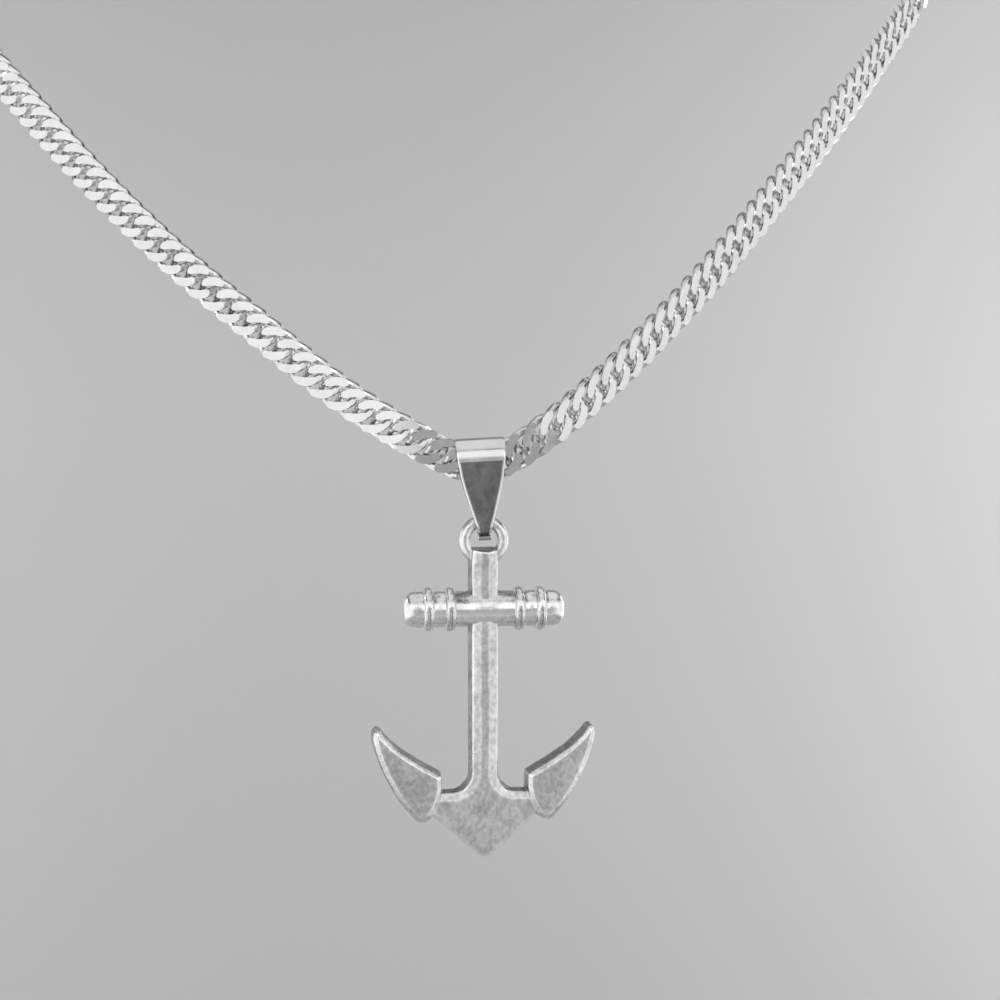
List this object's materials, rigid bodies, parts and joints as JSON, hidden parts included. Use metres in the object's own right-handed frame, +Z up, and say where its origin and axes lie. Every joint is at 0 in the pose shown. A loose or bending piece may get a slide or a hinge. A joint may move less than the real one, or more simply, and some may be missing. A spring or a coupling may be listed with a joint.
{
  "type": "anchor pendant necklace",
  "caption": "Steel curb chain necklace shown as worn, with a cast anchor pendant swinging from a folded tapered bail and a claw clasp at the nape",
  "frame": {"origin": "The nape of the neck, on the inner face of the clasp, where the necklace rests when it is worn", "axes": "+Z up, +Y backward out of the nape, so the pendant hangs in front of the neck towards -Y; +X to the right of somebody who looks at the pendant"},
  "size_m": [0.1641, 0.125, 0.1597],
  "materials": {
    "chain_steel": "polished stainless steel with flat cut faces",
    "clasp_steel": "polished stainless steel",
    "bail_steel": "mirror polished stainless steel sheet",
    "anchor_steel": "cast stainless steel with a fine satin grain and brighter edges"
  },
  "bodies": {
    "necklace": {"chain_left": "chain_steel", "chain_right": "chain_steel", "end_ring_left": "clasp_steel", "end_ring_right": "clasp_steel", "clasp": "clasp_steel"},
    "bail": {"bail": "bail_steel"},
    "anchor": {"anchor": "anchor_steel"}
  },
  "joints": [
    {"name": "bail_swing", "type": "hinge", "parent": "necklace", "child": "bail", "pos_m": [0, -0.1182, -0.10295], "axis": [1, 0, 0], "range_deg": [-15, 15]},
    {"name": "anchor_swing", "type": "hinge", "parent": "bail", "child": "anchor", "pos_m": [0, -0.1182, -0.11155], "axis": [1, 0, 0], "range_deg": [-50, 50]}
  ]
}
